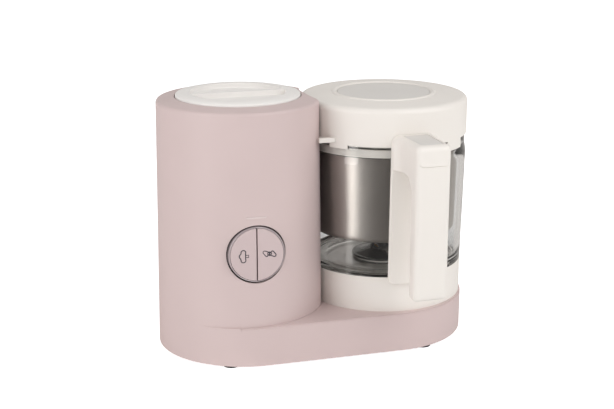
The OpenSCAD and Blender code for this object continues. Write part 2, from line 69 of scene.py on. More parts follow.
hang_soft_box("left_box", place=(-1.55, -0.62, 0.6), size=(1.0, 1.3), watts=13.5)
hang_soft_box("right_box", place=(1.2, -1.28, 0.6), size=(1.0, 1.2), watts=7.5)
hang_soft_box("top_box", place=(0.7, -0.9, 1.35), size=(1.0, 0.8), watts=8.5)

# What polished parts see round them: degrees from the front, minus to the left, and the colour there.
ROOM_ROUND = [
    (-180, (0.7, 0.67, 0.64)),      # bright wall behind
    (-100, (0.45, 0.33, 0.28)),
    (-76, (0.3, 0.19, 0.15)),       # warm shade beside the window
    (-68, (1.5, 1.36, 1.26)),       # tall window at the left
    (-61, (1.55, 1.47, 1.4)),
    (-54, (0.09, 0.078, 0.073)),    # dim room in front
    (-20, (0.07, 0.062, 0.058)),
    (20, (0.09, 0.085, 0.08)),
    (60, (0.4, 0.38, 0.36)),        # bright wall at the right
    (180, (0.7, 0.67, 0.64)),
]


def studio_node(tree, kind, *values, out=0, **settings):
    node = tree.nodes.new(kind)
    for key, value in settings.items():
        setattr(node, key, value)
    for number, value in enumerate(values):
        if isinstance(value, bpy.types.NodeSocket):
            tree.links.new(value, node.inputs[number])
        elif value is not None:
            node.inputs[number].default_value = value
    return node if out is None else node.outputs[out]


def room_light(tree, x, y):
    """How bright the polished parts see the room in the direction x, y."""
    forward = studio_node(tree, "ShaderNodeMath", y, -1.0, operation="MULTIPLY")
    turn = studio_node(tree, "ShaderNodeMath", x, forward, operation="ARCTAN2")
    share = studio_node(tree, "ShaderNodeMapRange", turn, -math.pi, math.pi)
    light = studio_node(tree, "ShaderNodeValToRGB", share)
    ramp = light.node.color_ramp
    ramp.interpolation = "EASE"
    for number, (degrees, colour) in enumerate(ROOM_ROUND):
        spot = (degrees + 180) / 360
        stop = ramp.elements[number] if number < 2 else ramp.elements.new(spot)
        stop.position = spot
        stop.color = (*colour, 1)
    return light


# The room is white behind what is seen or seen through. It is even for what is matt, a little brighter above,
# and for what is polished it has its window and walls.
LEVEL_LIGHT, HIGH_LIGHT, HIGH_FROM = 0.3, 0.46, 0.8
room = bpy.data.worlds.new("room")
studio.world = room
room.use_nodes = True
walls = room.node_tree
walls.nodes.clear()
view_line = studio_node(walls, "ShaderNodeTexCoord")
heading = studio_node(walls, "ShaderNodeSeparateXYZ", view_line).node.outputs
path = studio_node(walls, "ShaderNodeLightPath").node.outputs
even = studio_node(walls, "ShaderNodeMapRange", heading["Z"], 0.0, HIGH_FROM, LEVEL_LIGHT, HIGH_LIGHT)
matt = studio_node(walls, "ShaderNodeBackground", even)
polished = studio_node(walls, "ShaderNodeBackground", room_light(walls, heading["X"], heading["Y"]))
white = studio_node(walls, "ShaderNodeBackground", (1, 1, 1, 1))
mirrored = studio_node(walls, "ShaderNodeMath", path["Glossy Depth"], 0.5, operation="GREATER_THAN")
scattered = studio_node(walls, "ShaderNodeMath", path["Diffuse Depth"], 0.5, operation="GREATER_THAN")
seen = studio_node(walls, "ShaderNodeMixShader", mirrored, white, polished)
lit = studio_node(walls, "ShaderNodeMixShader", scattered, seen, matt)
studio_node(walls, "ShaderNodeOutputWorld", lit, out=None)

# The paper is white to the eye and keeps its shadows. It gives matt parts a little light from below, and for
# polished ones it goes on with the room's light and dark, as seen from the jar.
PAPER_SIZE, BELOW_FEET = 6, 0.0002
PAPER_WHITE, PAPER_IN_GLOSS = 0.9, 0.1
GLOW_TO_EYE, GLOW_TO_MATT = 0.8, 0.1
UNDER_JAR = (0.066, 0.021, 0)
bpy.ops.object.select_all(action="DESELECT")
bpy.ops.mesh.primitive_plane_add(size=PAPER_SIZE, location=(0, 0, -BELOW_FEET))
sweep = bpy.context.object
sweep.name = "sweep"
paper = bpy.data.materials.new("white_paper")
paper.use_nodes = True
sheet = paper.node_tree
sheet_shader = sheet.nodes["Principled BSDF"]
sheet_shader.inputs["Roughness"].default_value = 0.9
sheet_shader.inputs["Specular IOR Level"].default_value = 0.1
ray = studio_node(sheet, "ShaderNodeLightPath").node.outputs
on_sheet = studio_node(sheet, "ShaderNodeTexCoord", out="Object")
from_jar = studio_node(sheet, "ShaderNodeVectorMath", on_sheet, UNDER_JAR, operation="SUBTRACT")
spot = studio_node(sheet, "ShaderNodeSeparateXYZ", from_jar).node.outputs
in_gloss = studio_node(sheet, "ShaderNodeMath", ray["Glossy Depth"], 0.5, operation="GREATER_THAN")
to_eye = studio_node(sheet, "ShaderNodeMath", ray["Is Camera Ray"], GLOW_TO_EYE, operation="MULTIPLY")
to_matt = studio_node(sheet, "ShaderNodeMath", ray["Diffuse Depth"], 0.5, operation="GREATER_THAN")
bright = studio_node(sheet, "ShaderNodeMath", to_matt, GLOW_TO_MATT, to_eye, operation="MULTIPLY_ADD")
shade = studio_node(sheet, "ShaderNodeMix", in_gloss, data_type="RGBA", out=2)
shade.node.inputs[6].default_value = (PAPER_WHITE, PAPER_WHITE, PAPER_WHITE, 1)
shade.node.inputs[7].default_value = (PAPER_IN_GLOSS, PAPER_IN_GLOSS, PAPER_IN_GLOSS, 1)
sheet.links.new(shade, sheet_shader.inputs["Base Color"])
white_glow = studio_node(sheet, "ShaderNodeEmission", (1, 1, 1, 1), bright)
gloss_glow = studio_node(sheet, "ShaderNodeEmission", room_light(sheet, spot["X"], spot["Y"]), in_gloss)
glow = studio_node(sheet, "ShaderNodeAddShader", white_glow, gloss_glow)
lit_paper = studio_node(sheet, "ShaderNodeAddShader", sheet_shader.outputs[0], glow)
sheet.links.new(lit_paper, sheet.nodes["Material Output"].inputs["Surface"])
sweep.data.materials.append(paper)

# ---- Bottom cover, feet and cover screws ----
# The flat cover closes the base from below: moulded in the shell's pink, with cooling slots under the motor.
# Four dark rubber feet plug into it, and four plated screws hold it to the posts inside the skirt.


class Wire:
    """A value inside a finish. Wires are added and multiplied like numbers."""

    def __init__(self, finish, socket):
        self.finish, self.socket = finish, socket

    def __add__(self, other):
        return self.finish.node("ShaderNodeMath", {"operation": "ADD"}, self, other)

    def __mul__(self, other):
        return self.finish.node("ShaderNodeMath", {"operation": "MULTIPLY"}, self, other)

    __radd__, __rmul__ = __add__, __mul__


class Finish:
    """The finish of one kind of surface. What is the same all over is set once, what varies is wired in."""

    GRAIN_RANGE = (0.3, 0.7)     # where nearly all values of a grain lie

    def __init__(self, name, slot, colour, roughness, **fixed):
        self.material = bpy.data.materials.new(name)
        self.material.use_nodes = True
        self.tree = self.material.node_tree
        self.shader = self.tree.nodes["Principled BSDF"]
        self.slot, self.colour, self.roughness = slot, colour, roughness
        self.set("Base Color", (*colour, 1))
        self.set("Roughness", roughness)
        for key, value in fixed.items():
            self.set(key.replace("_", " "), value)
        self.place = self.node("ShaderNodeTexCoord", out="Object")

    def give(self, socket, value):
        """Links a wire to a socket, or writes a plain value in it."""
        if isinstance(value, Wire):
            self.tree.links.new(value.socket, socket)
        elif value is not None:
            socket.default_value = value

    def set(self, name, value):
        self.give(self.shader.inputs[name], value)

    def node(self, kind, settings=None, *values, out=0, **sockets):
        """Adds a node: first its settings, then the values or wires of its sockets."""
        made = self.tree.nodes.new(kind)
        for key, value in (settings or {}).items():
            setattr(made, key, value)
        named = [(key.replace("_", " "), value) for key, value in sockets.items()]
        for socket, value in list(enumerate(values)) + named:
            self.give(made.inputs[socket], value)
        return Wire(self, made.outputs[out])

    def grain(self, scale, detail, stretch=(1, 1, 1)):
        stretched = self.node("ShaderNodeMapping", None, self.place, Scale=stretch)
        return self.node("ShaderNodeTexNoise", None, stretched, Scale=scale, Detail=detail)

    def mix(self, share, first, second):
        """Mixes two colours. A colour Mix node takes them in sockets 6 and 7, and gives the result in 2."""
        made = self.node("ShaderNodeMix", {"data_type": "RGBA", "clamp_factor": True}, share, out=2)
        for socket, colour in ((6, first), (7, second)):
            made.socket.node.inputs[socket].default_value = (*colour, 1)
        return made

    def spread(self, wire, low, high, to_low=0.0, to_high=1.0):
        return self.node("ShaderNodeMapRange", None, wire, low, high, to_low, to_high)

    def cloud(self, amount, scale):
        """Lets the colour drift a little lighter and darker over the surface."""
        drift = self.spread(self.grain(scale, 3), *self.GRAIN_RANGE)
        darker = tuple(c * (1 - amount) for c in self.colour)
        lighter = tuple(min(1, c * (1 + amount)) for c in self.colour)
        self.set("Base Color", self.mix(drift, darker, lighter))
        return self

    def uneven(self, amount, scale):
        """Lets the gloss vary, as handling and moulding leave it."""
        smoother, rougher = self.roughness - amount, self.roughness + amount
        self.set("Roughness", self.spread(self.grain(scale, 4), *self.GRAIN_RANGE, smoother, rougher))
        return self

    def relief(self, height, depth, strength):
        bump = self.node("ShaderNodeBump", None, Strength=strength, Distance=depth, Height=height)
        self.set("Normal", bump)
        return self

    def textured(self, scale, detail, depth, strength, stretch=(1, 1, 1)):
        """Gives the surface a fine grain, with its depth in metres."""
        return self.relief(self.grain(scale, detail, stretch), depth, strength)

    def moulded(self, cloud=0.02, depth=0.00002, size=2600):
        """The dull spark-eroded face of a moulded plastic."""
        return self.cloud(cloud, 14).uneven(0.05, 45).textured(size, 2, depth, 0.6)

    def on(self, *names):
        for name in names:
            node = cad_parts[name]
            node.data.materials.clear()
            node.data.materials.append(self.material)
        return self


Finish("cover_pink", "pink_shell", (0.60, 0.46, 0.44), 0.6).moulded().on("bottom_cover")
foot_rubber = Finish("foot_rubber", "dark_rubber", (0.028, 0.026, 0.026), 0.85)
foot_rubber.cloud(0.25, 90).uneven(0.06, 120).textured(1800, 3, 0.00005, 0.7).on("feet")
plated = Finish("plated_screw", "shaft_steel", (0.58, 0.57, 0.55), 0.32, Metallic=1.0)
plated.cloud(0.08, 300).uneven(0.08, 260).textured(900, 2, 0.00001, 0.5, (1, 1, 8)).on("cover_screws")

# ---- Blade drive ----
# A belt from the motor turns a steel spindle under the jar. It runs in two bronze bushes pressed into a cast
# bearing housing, and its six-armed black coupler meets the one under the blade unit.
spindle_steel = Finish("ground_steel", "shaft_steel", (0.55, 0.55, 0.56), 0.25, Metallic=1.0)
spindle_steel.cloud(0.06, 120).uneven(0.06, 300).textured(1500, 2, 0.000006, 0.5, (1, 1, 12))
spindle_steel.on("drive_shaft")
bush_bronze = Finish("bush_bronze", "bronze", (0.50, 0.29, 0.11), 0.38, Metallic=1.0)
bush_bronze.cloud(0.15, 400).uneven(0.08, 500).textured(3200, 2, 0.00001, 0.6).on("drive_bushes")
cast = Finish("cast_aluminium", "cast_aluminium", (0.44, 0.44, 0.45), 0.5, Metallic=1.0)
cast.cloud(0.1, 110).uneven(0.1, 160).textured(1100, 4, 0.00005, 0.8).on("bearing_housing")
black_plastic = Finish("black_moulding", "black_plastic", (0.022, 0.022, 0.024), 0.45)
black_plastic.cloud(0.3, 60).uneven(0.08, 90).textured(2400, 2, 0.00002, 0.6)
black_plastic.on("motor_pulley", "drive_pulley", "drive_coupler")
belt_rubber = Finish("belt_rubber", "dark_rubber", (0.02, 0.019, 0.019), 0.8)
belt_rubber.cloud(0.3, 200).uneven(0.06, 300).textured(1600, 3, 0.00004, 0.8, (1, 1, 4)).on("drive_belt")

# ---- Motor ----
# A universal motor in a pressed steel can hangs in the tower on a cast bracket and two screws, with its shaft
# down through the bracket to the small pulley.
can_steel = Finish("zinc_plated_can", "motor_metal", (0.42, 0.43, 0.44), 0.36, Metallic=1.0)
can_steel.cloud(0.08, 60).uneven(0.1, 80).textured(700, 3, 0.00001, 0.6, (1, 1, 5)).on("motor_can")
cast.on("motor_bracket")
plated.on("motor_screws")
spindle_steel.on("motor_shaft")

# ---- Boiler ----
# A drawn stainless tank hangs from the tower's roof by its neck. A cast plate with a sheathed element and two
# thermostats heats it from below, and a short tube leads the steam through a silicone seal to the jar.
tank_steel = Finish("drawn_stainless", "boiler_steel", (0.60, 0.60, 0.61), 0.28, Metallic=1.0)
tank_steel.cloud(0.05, 40).uneven(0.08, 70).textured(900, 3, 0.000012, 0.7, (1, 1, 10))
tank_steel.on("boiler", "steam_tube")
milky_silicone = Finish("milky_silicone", "silicone", (0.66, 0.63, 0.59), 0.55)
milky_silicone.cloud(0.04, 60).uneven(0.08, 90).textured(1300, 2, 0.00002, 0.5)
milky_silicone.on("boiler_gasket", "steam_outlet_seal")
cast.on("heater_plate")
sheath = Finish("element_sheath", "element_sheath", (0.19, 0.17, 0.15), 0.48, Metallic=1.0)
sheath.cloud(0.25, 150).uneven(0.12, 180).textured(1400, 3, 0.00003, 0.8).on("heating_element")
ceramic = Finish("thermostat_ceramic", "white_plastic", (0.72, 0.70, 0.66), 0.6)
ceramic.cloud(0.06, 200).uneven(0.08, 200).textured(2000, 3, 0.00003, 0.6).on("thermostats")

# ---- Electrics ----
# A lacquered board stands on two posts behind the buttons, with a switch for each. A terminal block takes the
# mains wires from the rubber gland at the back, and a small switch feels that the lid is on.
LACQUER_GREENS = ((0.03, 0.12, 0.055, 1), (0.045, 0.16, 0.075, 1), (0.02, 0.08, 0.04, 1))
TRACK_SCALE = 260
lacquer = Finish("board_lacquer", "board", (0.035, 0.13, 0.06), 0.35)
track_rows = {"offset": 0.37, "squash": 0.6, "squash_frequency": 3}
tracks = lacquer.node("ShaderNodeTexBrick", track_rows, lacquer.place, *LACQUER_GREENS, TRACK_SCALE)
lacquer.set("Base Color", tracks)
lacquer.uneven(0.08, 200).textured(900, 2, 0.00003, 0.6).on("control_board")
black_plastic.on("tact_switches", "lid_sensor")
terminal_nylon = Finish("terminal_nylon", "white_plastic", (0.78, 0.76, 0.71), 0.5)
terminal_nylon.cloud(0.04, 90).uneven(0.07, 120).textured(2200, 2, 0.00002, 0.6).on("terminal_block")
foot_rubber.on("cord_gland")

# ---- Tower and base ----
# The shell is one deep moulding in dusty pink: a round tower that is hollowed on one side for the jar, and
# the skirt of the oval base. The deck that carries the jar is a second moulding, let in flush on the skirt.
shell_pink = Finish("shell_pink", "pink_shell", (0.628, 0.505, 0.492), 0.46, Specular_IOR_Level=0.4)
shell_pink.moulded(0.018, 0.000016, 2600).on("housing", "jar_deck")

# The upright axes of the tower and of the jar.
TOWER = Vector((-0.06565, 0.02125, 0))
JAR = Vector((0.06635, 0.02125, 0))

# ---- Buttons ----
# Two half-round keys, one for steam and one for blending, stand flat in front of the curved tower inside a
# smoked bevelled ring. Each has a printed outline sign, and a thin pale light shows above them.
PANEL = TOWER + Vector((0, 0, 0.0996))
PANEL_TURN = math.radians(-2.5)


def pick(*pieces):
    """Leaves only these pieces selected, and makes the last one active."""
    if bpy.context.object and bpy.context.object.mode == "EDIT":
        bpy.ops.object.mode_set(mode="OBJECT")
    bpy.ops.object.select_all(action="DESELECT")
    for piece in pieces:
        piece.select_set(True)
        bpy.context.view_layer.objects.active = piece


def spun(name, profile, middle=(0, 0), around=160, solid=False):
    """Draws a ring of points up through (radius, height) pairs and closes it, as turning on a lathe would."""
    pick()
    radius, height = profile[0]
    bpy.ops.mesh.primitive_circle_add(vertices=around, radius=radius, location=(middle[0], middle[1], height))
    piece = bpy.context.object
    piece.name = piece.data.name = name
    bpy.ops.object.transform_apply(location=True)
    bpy.ops.object.mode_set(mode="EDIT")
    bpy.ops.mesh.select_all(action="SELECT")
    if solid:
        bpy.ops.mesh.edge_face_add()
    for (r0, z0), (r1, z1) in zip(profile, profile[1:]):
        bpy.ops.mesh.extrude_region_move(TRANSFORM_OT_translate={"value": (0, 0, z1 - z0)})
        bpy.ops.transform.resize(value=(r1 / r0, r1 / r0, 1), center_override=(middle[0], middle[1], z1))
    if solid:
        bpy.ops.mesh.edge_face_add()
    bpy.ops.mesh.select_all(action="SELECT")
    bpy.ops.mesh.remove_doubles(threshold=0.000001)
    bpy.ops.mesh.normals_make_consistent(inside=False)
    bpy.ops.object.mode_set(mode="OBJECT")
    return piece


def arc(centre, radius, start, end, steps):
    """Points of a rounded corner in a profile, in degrees."""
    turns = [math.radians(start + (end - start) * k / steps) for k in range(steps + 1)]
    return [(centre[0] + radius * math.cos(turn), centre[1] + radius * math.sin(turn)) for turn in turns]


def drawn(name, points, depth):
    """Draws an outline point by point, fills it and pulls it out to a solid."""
    pick()
    bpy.ops.mesh.primitive_plane_add(size=0.001, location=(0, 0, 0))
    piece = bpy.context.object
    piece.name = piece.data.name = name
    points = [Vector(p) for p in points]
    bpy.ops.object.mode_set(mode="EDIT")
    bpy.ops.mesh.select_all(action="SELECT")
    bpy.ops.mesh.merge(type="CENTER")
    bpy.ops.transform.translate(value=points[0])
    for here, there in zip(points, points[1:]):
        bpy.ops.mesh.extrude_region_move(TRANSFORM_OT_translate={"value": there - here})
    bpy.ops.mesh.select_all(action="SELECT")
    bpy.ops.mesh.edge_face_add()
    bpy.ops.mesh.extrude_region_move(TRANSFORM_OT_translate={"value": depth})
    bpy.ops.mesh.select_all(action="SELECT")
    bpy.ops.mesh.normals_make_consistent(inside=False)
    bpy.ops.object.mode_set(mode="OBJECT")
    return piece


def cut_off(piece, point, kept_side):
    """Saws a piece flat through a point and keeps the side that kept_side points to."""
    pick(piece)
    bpy.ops.object.mode_set(mode="EDIT")
    bpy.ops.mesh.select_all(action="SELECT")
    bpy.ops.mesh.bisect(plane_co=point, plane_no=kept_side, use_fill=True, clear_inner=True)
    bpy.ops.mesh.select_all(action="SELECT")
    bpy.ops.mesh.normals_make_consistent(inside=False)
    bpy.ops.object.mode_set(mode="OBJECT")
    return piece


def change(piece, kind, **settings):
    """Puts a modifier on a piece and applies it."""
    pick(piece)
    added = piece.modifiers.new(kind.lower(), kind)
    for key, value in settings.items():
        setattr(added, key, value)
    bpy.ops.object.modifier_apply(modifier=added.name)
    return piece


def soften(piece, width, segments, angle):
    """Rounds the edges that are sharper than an angle."""
    return change(piece, "BEVEL", width=width, segments=segments, limit_method="ANGLE",
                  angle_limit=math.radians(angle), miter_outer="MITER_ARC")


def join_on(piece, other, operation="UNION"):
    """Joins another solid to a piece, cuts it out or keeps what both fill, and uses the other up."""
    change(piece, "BOOLEAN", object=other, operation=operation, solver="EXACT")
    bpy.data.objects.remove(other)
    return piece


def smooth(piece, angle):
    pick(piece)
    bpy.ops.object.shade_smooth_by_angle(angle=math.radians(angle))
    return piece


def put_up(piece):
    """Stands a piece that was made lying down on the panel, with its top to the front."""
    pick(piece)
    piece.rotation_euler = (math.radians(90), 0, PANEL_TURN)
    piece.location = PANEL
    bpy.ops.object.transform_apply(location=True, rotation=True)
    return piece


def fit(piece, finish, body, *stands_for):
    piece.data.materials.clear()
    piece.data.materials.append(finish.material)
    if stands_for:
        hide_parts(*stands_for)
    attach(piece, body)
    return piece


# The ring: radii, and heights in front of the tower's axis. Its outer edge is painted darker than its bevel,
# as painted shade in the gap round the ring.
RING_BORE, RING_OUTSIDE = 0.0227, 0.0248
GAP_SHADE_FROM, GAP_SHADE_TO = 0.0237, 0.0241
PAINTED_GAP_SHADE = (0.055, 0.048, 0.052)
ring_profile = [(RING_BORE, 0.060), (RING_OUTSIDE, 0.060), (RING_OUTSIDE, 0.0666), (0.0246, 0.0674),
                (0.0235, 0.0715), (0.0231, 0.0718), (RING_BORE, 0.0715), (RING_BORE, 0.060)]
bezel = smooth(put_up(spun("button_bezel_ring", ring_profile)), 25)
smoked = Finish("smoked_ring", "bezel_ring", (0.40, 0.335, 0.345), 0.22, Coat_Weight=0.5, Coat_Roughness=0.08)
from_middle = smoked.node("ShaderNodeVectorMath", {"operation": "SUBTRACT"}, smoked.place, tuple(PANEL))
panel_right = (math.cos(PANEL_TURN), math.sin(PANEL_TURN), 0)
across = smoked.node("ShaderNodeVectorMath", {"operation": "DOT_PRODUCT"}, from_middle, panel_right, out=1)
upward = smoked.node("ShaderNodeVectorMath", {"operation": "DOT_PRODUCT"}, from_middle, (0, 0, 1), out=1)
# A band at the ring's outer edge is painted dark: painted shade of the gap round the ring.
gap_shade_band = smoked.spread(across * across + upward * upward, GAP_SHADE_FROM ** 2, GAP_SHADE_TO ** 2)
smoked.set("Base Color", smoked.mix(gap_shade_band, smoked.colour, PAINTED_GAP_SHADE))
smoked.uneven(0.05, 200).textured(900, 2, 0.000008, 0.4)
fit(bezel, smoked, "base", "button_bezel")

# The keys: cut from one disc with a gap between them, with a rounded rim and a nearly flat face.
KEY_RADIUS, KEY_BACK, KEY_SHOULDER, RIM_RADIUS = 0.0224, 0.0660, 0.0714, 0.0004
HALF_GAP = 0.00055
key_pink = Finish("key_pink", "pink_shell", (0.60, 0.485, 0.48), 0.42)
key_pink.moulded(0.018, 0.000014, 2800)


def half_key(name, side):
    rim = arc((KEY_RADIUS - RIM_RADIUS, KEY_SHOULDER), RIM_RADIUS, 0, 90, 4)
    key_face = [(0.0120, 0.07205), (0.0010, 0.0722)]
    key_profile = [(KEY_RADIUS, KEY_BACK), (KEY_RADIUS, KEY_SHOULDER)] + rim + key_face
    key = spun(name, key_profile, around=128, solid=True)
    cut_off(key, (side * HALF_GAP, 0, 0), (side, 0, 0))
    soften(key, width=0.0003, segments=2, angle=50)
    return smooth(put_up(key), 35)


steam_key = half_key("steam_key", -1)
blend_key = half_key("blend_key", 1)

# The signs, in millimetres on the keys' faces: a puff of steam from a nozzle, and a twist of three loops.
mm = 0.001
INK_AT = 0.0721
INK_HALF_WIDTH, INK_FLATNESS = 0.00042, 0.25
PUFF_MIDDLE, TWIST_MIDDLE = (-10.6, -0.6), (10.4, 0.2)
sign_ink = Finish("sign_ink", "black_plastic", (0.055, 0.05, 0.06), 0.6)
sign_ink.cloud(0.15, 500).uneven(0.1, 800).textured(6000, 2, 0.00001, 0.5)


def printed_line(name, points, closed=True, half_width=INK_HALF_WIDTH):
    """A line of the sign, printed on the key's face: a flat band that follows the points."""
    pick()
    bpy.ops.curve.primitive_bezier_circle_add(radius=0.001)
    stroke = bpy.context.object
    stroke.name = stroke.data.name = name
    stroke.data.splines.clear()
    run = stroke.data.splines.new("POLY")
    run.points.add(len(points) - 1)
    for spot, (x, y) in zip(run.points, points):
        spot.co = (x * mm, y * mm, 0, 1)
    run.use_cyclic_u = closed
    stroke.data.dimensions = "3D"
    stroke.data.bevel_depth = half_width
    stroke.data.bevel_resolution = 1
    bpy.ops.object.convert(target="MESH")
    stroke.select_set(True)
    stroke.scale = (1, 1, INK_FLATNESS)
    bpy.ops.object.transform_apply(scale=True)
    return stroke


def lobes(centre, *parts):
    """Outline points through arcs given as (x, y, radius, start, end)."""
    return [spot for x, y, radius, start, end in parts
            for spot in arc((centre[0] + x, centre[1] + y), radius, start, end, 10)]


puff = lobes(
    PUFF_MIDDLE,
    (-1.0, 3.3, 2.0, -25, 190),
    (-2.6, 0.2, 1.9, 110, 235),
    (-1.0, -3.3, 2.0, 170, 385))
nozzle = [(-9.8, 0.4), (-7.2, 0.4), (-7.2, -1.6), (-9.8, -1.6)]
left_loop = lobes(
    TWIST_MIDDLE,
    (-4.2, 1.4, 1.3, 70, 215),
    (-2.4, -0.9, 1.3, 215, 300),
    (-1.5, 0.2, 1.4, 270, 420))
middle_loop = lobes(TWIST_MIDDLE, (0, 0, 1.6, 0, 351))
right_loop = lobes(
    TWIST_MIDDLE,
    (4.2, -1.4, 1.3, -110, 35),
    (2.4, 0.9, 1.3, 35, 120),
    (1.5, -0.2, 1.4, 90, 240))
for name, points, body in (("steam_sign", puff, "steam_key"), ("steam_nozzle", nozzle, "steam_key"),
                           ("blend_sign_left", left_loop, "blend_key"),
                           ("blend_sign_middle", middle_loop, "blend_key"),
                           ("blend_sign_right", right_loop, "blend_key")):
    sign = printed_line(name, points)
    pick(sign)
    sign.location = (0, 0, INK_AT)
    bpy.ops.object.transform_apply(location=True)
    fit(smooth(put_up(sign), 60), sign_ink, body)
fit(steam_key, key_pink, "steam_key", "steam_button")
fit(blend_key, key_pink, "blend_key", "blend_button")
pale_light = Finish("pale_light", "indicator_light", (0.71, 0.60, 0.585), 0.35, Coat_Weight=0.3)
pale_light.cloud(0.02, 300).uneven(0.05, 300).textured(2500, 2, 0.00001, 0.4).on("indicator_strip")

# ---- Water tank cap ----
# The cap screws into the tower's top on a silicone ring. It is moulded in off-white, shallow and slightly
# crowned, with two half-moon wells for the fingertips and a straight bar between them.
HALF_BAR = 0.0023
cap_skirt = [(0.0524, 0.2150), (0.0524, 0.2168), (0.0534, 0.2176), (0.0534, 0.2204)]
cap_edge = arc((0.0518, 0.2204), 0.0016, 10, 60, 4)
cap_crown = [(0.0490, 0.2226), (0.0460, 0.22295), (0.0200, 0.2230), (0.0010, 0.2230)]
well_profile = [(0.0402, 0.2185), (0.0410, 0.2193), (0.0410, 0.2260)]
cap_white = Finish("cap_white", "cream_plastic", (0.88, 0.85, 0.82), 0.40, Specular_IOR_Level=0.4)
cap_white.moulded(0.012, 0.000012, 3000).on("tank_cap_plug")
cap = spun("tank_cap_top", cap_skirt + cap_edge + cap_crown, TOWER, 192, solid=True)
well = spun("well_cutter", well_profile, TOWER, 160, solid=True)
for side in (-1, 1):
    half_well = well.copy()
    half_well.data = well.data.copy()
    studio.collection.objects.link(half_well)
    cut_off(half_well, (TOWER.x, TOWER.y + side * HALF_BAR, 0), (0, side, 0))
    join_on(cap, half_well, "DIFFERENCE")
bpy.data.objects.remove(well)
soften(cap, width=0.0005, segments=3, angle=40)
fit(smooth(cap, 30), cap_white, "cap", "tank_cap")
milky_silicone.on("tank_cap_gasket")

# ---- Jar ----
# A thick pressed-glass beaker with a heavy foot stands in a cream collar, which locks on the base. The glass
# widens a little to a soft shoulder, has a narrower neck under the lid, and a low ring pressed in its floor.
satin_cream = Finish("satin_cream", "cream_plastic", (0.84, 0.795, 0.745), 0.42, Specular_IOR_Level=0.4)
satin_cream.moulded(0.010, 0.000012, 3000).on("jar_collar")
milky_silicone.on("jar_seal")

# Shadow rays mostly pass through the glass, so that what stands in it is lit.
SHADOW_PASSED = 0.92
pressed_glass = Finish("pressed_glass", "glass", (0.955, 0.955, 0.95), 0.0, Transmission_Weight=1.0, IOR=1.5)
pressed_glass.textured(22, 1, 0.0004, 0.25)
shadow_share = pressed_glass.node("ShaderNodeLightPath", out="Is Shadow Ray") * SHADOW_PASSED
lets_through = pressed_glass.node("ShaderNodeBsdfTransparent", None, (0.95, 0.96, 0.95, 1))
glass_surface = Wire(pressed_glass, pressed_glass.shader.outputs[0])
glass_or_clear = pressed_glass.node("ShaderNodeMixShader", None, shadow_share, glass_surface, lets_through)
pressed_glass.give(pressed_glass.tree.nodes["Material Output"].inputs["Surface"], glass_or_clear)

# The beaker's section in millimetres, as (radius, height): up its outside, over its edge and down its inside.
foot = [(19, 60), (63, 60), (63, 57.5), (67.6, 57.5), (67.6, 67.2), (71.2, 67.2), (71.3, 70)]
outer_wall = [(71.34, 72), (73.0, 152), (73.06, 155)]
shoulder = [(73.35, 163), (73.3, 165.5), (73.0, 168), (72.45, 170.5), (72.1, 172.5)]
neck = [(72.0, 175), (72.0, 185.2)]
top_edge = [(71.8, 185.8), (71.2, 186), (70.8, 185.9), (70.4, 185.4)]
lid_seat = [(70.4, 172), (70.1, 171.5), (69, 171.5), (68.72, 171.2), (68.68, 170)]
inner_wall = [(66.96, 79), (66.88, 76), (66.4, 72.6)]
floor_corner = [(65.2, 69.6), (62.8, 67.4), (60, 66.5), (56, 66.1)]
floor_ring = [(53.6, 66.5), (52, 66.8), (50.4, 66.5), (48, 66.1)]
floor_hole = [(40, 66), (19, 66), (19, 60)]
beaker_outside = foot + outer_wall + shoulder + neck + top_edge
beaker_inside = lid_seat + inner_wall + floor_corner + floor_ring + floor_hole
beaker = spun("jar_beaker", [(r * mm, z * mm) for r, z in beaker_outside + beaker_inside], JAR, 192)
fit(smooth(beaker, 24), pressed_glass, "jar", "jar_glass")

# ---- Blade unit ----
# Four ground blades stand on a hub over a flat holder, which a toothed ring locks from below. Everything that
# turns runs in a bronze bush.
ground_blade = Finish("ground_blade", "blade_steel", (0.42, 0.42, 0.43), 0.16, Metallic=1.0)
ground_blade.cloud(0.05, 80).uneven(0.05, 200).textured(300, 2, 0.000008, 0.5, (1, 8, 1)).on("blade")
spindle_steel.on("blade_shaft")
bush_bronze.on("blade_bush")
holder_grey = Finish("holder_grey", "white_plastic", (0.06, 0.058, 0.056), 0.25)
holder_grey.moulded(0.03, 0.00002, 2200).on("blade_holder")
black_plastic.on("blade_lock_ring", "driven_coupler")

# ---- Steam basket ----
# A deep basket of brushed stainless steel, holed in its floor, hangs in the jar from a moulded cream rim.
# The brushing runs round it in fine lines, some a little rougher than others.
SMOOTH_BRUSH, ROUGH_BRUSH = 0.36, 0.48
brushed_steel = Finish("brushed_steel", "basket_steel", (0.62, 0.585, 0.555), 0.42, Metallic=1.0,
                       Anisotropic=0.85, Anisotropic_Rotation=0.25)
brushed_steel.cloud(0.03, 30)
brush = brushed_steel.grain(40, 4, (1, 1, 90))
brushed = brushed_steel.spread(brush, *Finish.GRAIN_RANGE, SMOOTH_BRUSH, ROUGH_BRUSH)
brushed_steel.set("Roughness", brushed)
brushed_steel.relief(brush, 0.000004, 0.3).on("basket_shell")
satin_cream.on("basket_rim")

# ---- Handle ----
# One cream moulding: a wide strap that follows the jar from the collar up to the lid, a block that reaches
# forward at its top, and the straight grip. A grey pad lies in the block's top, and a line marks its lip.

# Sizes are in millimetres from the jar's axis and the table: x to the right, y to the back.
FOOT_Z, TOP_Z = 61, 193
UNDER_BLOCK_Z, BLOCK_BACK = 163, -70
GRIP_FRONT, GRIP_BACK, GRIP_HALF_WIDTH = -119.8, -105.8, 15
FINGER_CORNER, TOE_CORNER, BROW_CORNER = 14, 3.5, 5
STRAP_HALF_WIDTH, STRAP_LOW_CORNER, STRAP_HIGH_CORNER = 19, 5, 7.5
STRAP_INSIDE, STRAP_LOW_RADIUS, STRAP_HIGH_RADIUS = 69.0, 74.2, 77.2
PLATE_FRONT, PLATE_DEPTH = -95, 40
FLARE_Z = 163.4


def at_jar(x, y, z):
    return Vector((JAR.x + x * mm, JAR.y + y * mm, z * mm))


